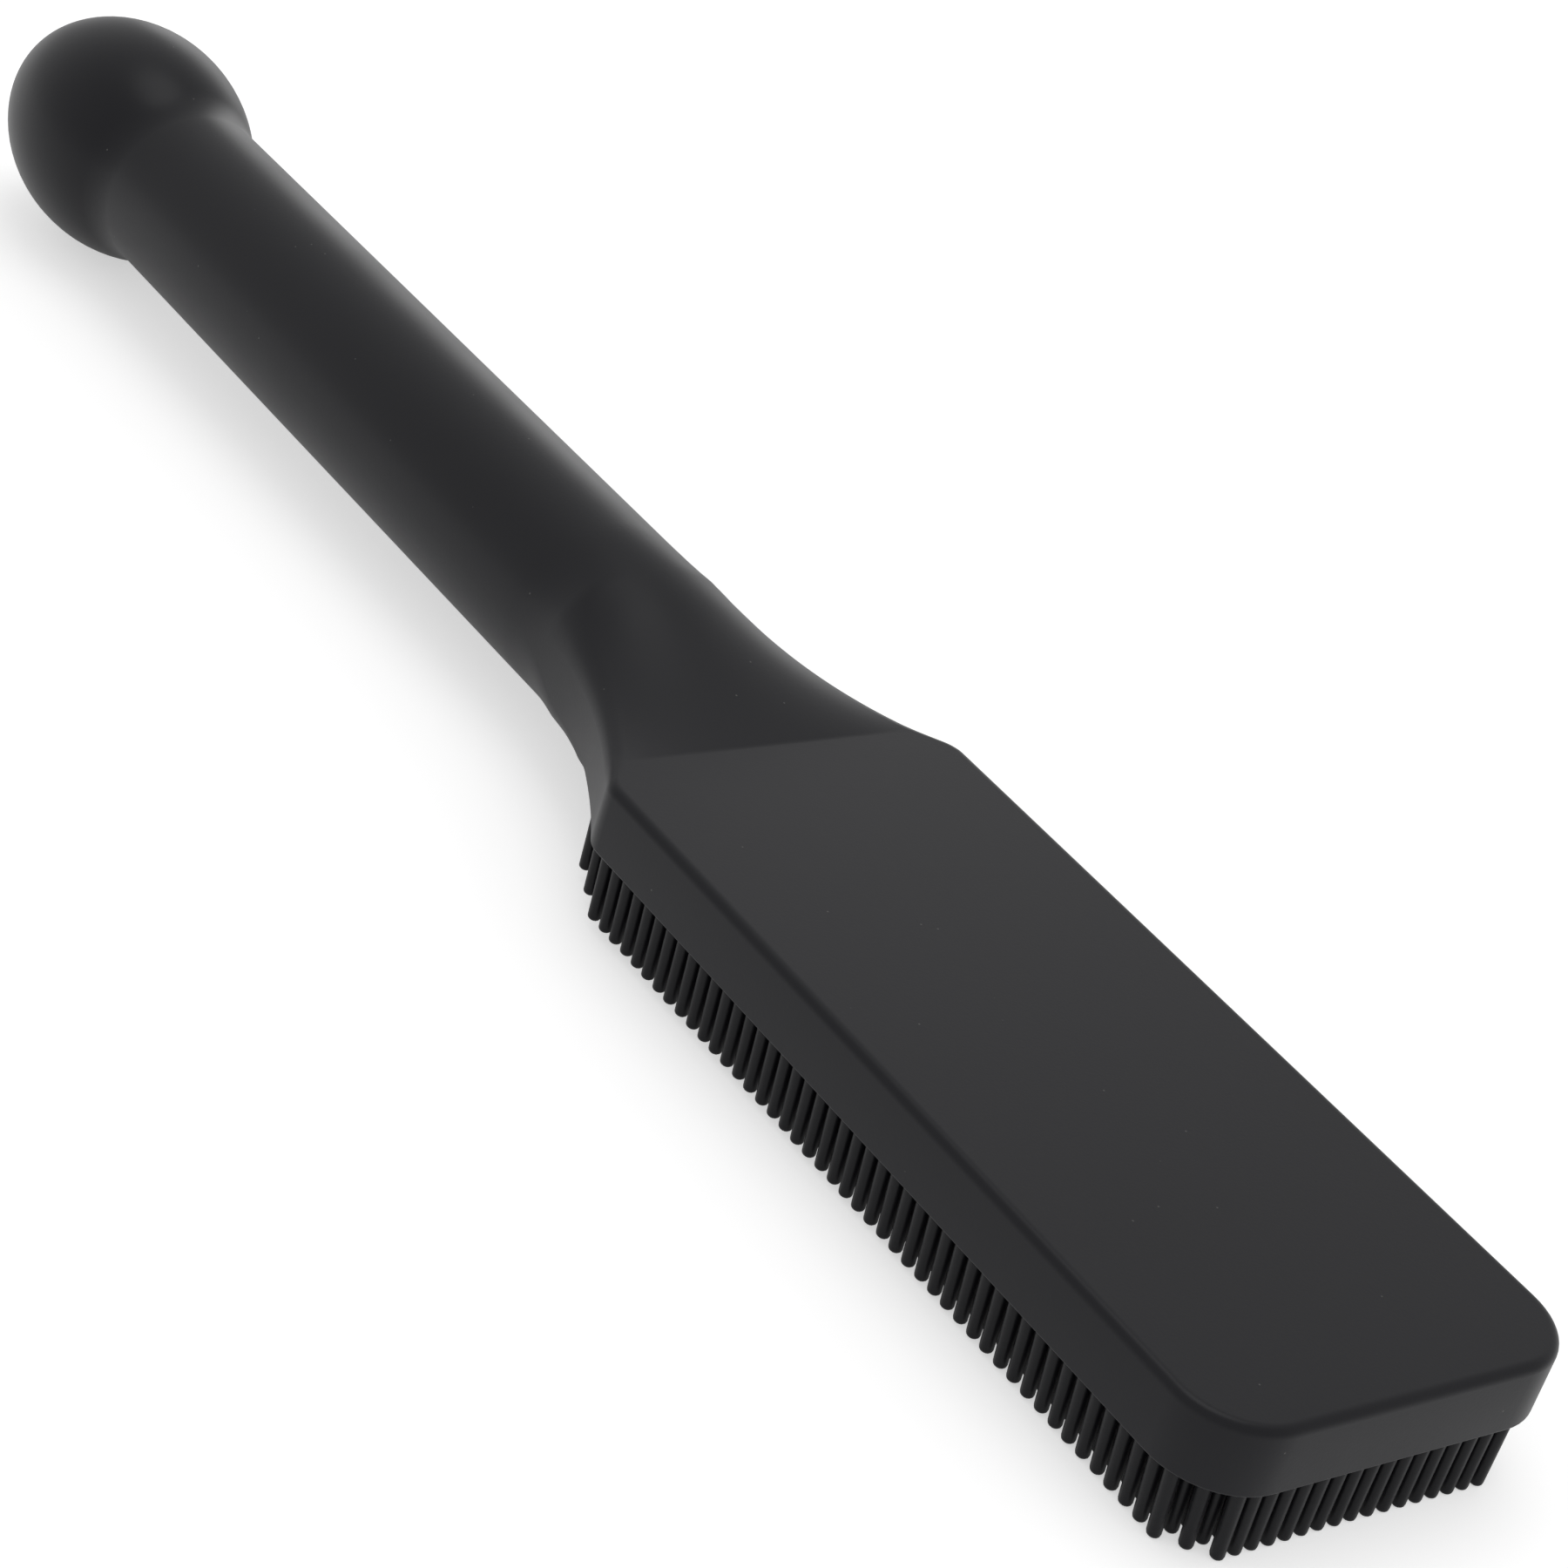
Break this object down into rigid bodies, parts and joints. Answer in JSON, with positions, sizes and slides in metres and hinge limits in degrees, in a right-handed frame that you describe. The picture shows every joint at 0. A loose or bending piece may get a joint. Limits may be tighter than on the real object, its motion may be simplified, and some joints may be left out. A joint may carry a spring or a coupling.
{
  "type": "rubber curry brush",
  "caption": "One-hand rubber grooming brush: flat paddle head with a dense field of short rubber bristles underneath, round grip and ball end, over a stiff core.",
  "frame": {"origin": "on the handle's axis, midway between the end of the ball and the head's front edge", "axes": "+X along the handle's axis, from the ball to the head's front edge; +Z away from the bristles; +Y across the head"},
  "size_m": [0.335, 0.0556, 0.0354],
  "materials": {
    "cover_rubber": "matte soft-touch black silicone rubber",
    "bristle_rubber": "matte black silicone rubber, slightly softer than the cover",
    "blade_steel": "brushed stainless spring steel",
    "core_nylon": "as-moulded glass-filled nylon",
    "screw_steel": "zinc-plated steel"
  },
  "bodies": {
    "root": {"rubber_cover": "cover_rubber", "bristle_pad": "bristle_rubber", "core_blade": "blade_steel", "core_half_upper": "core_nylon", "core_half_lower": "core_nylon", "core_screws": "screw_steel"}
  },
  "joints": []
}
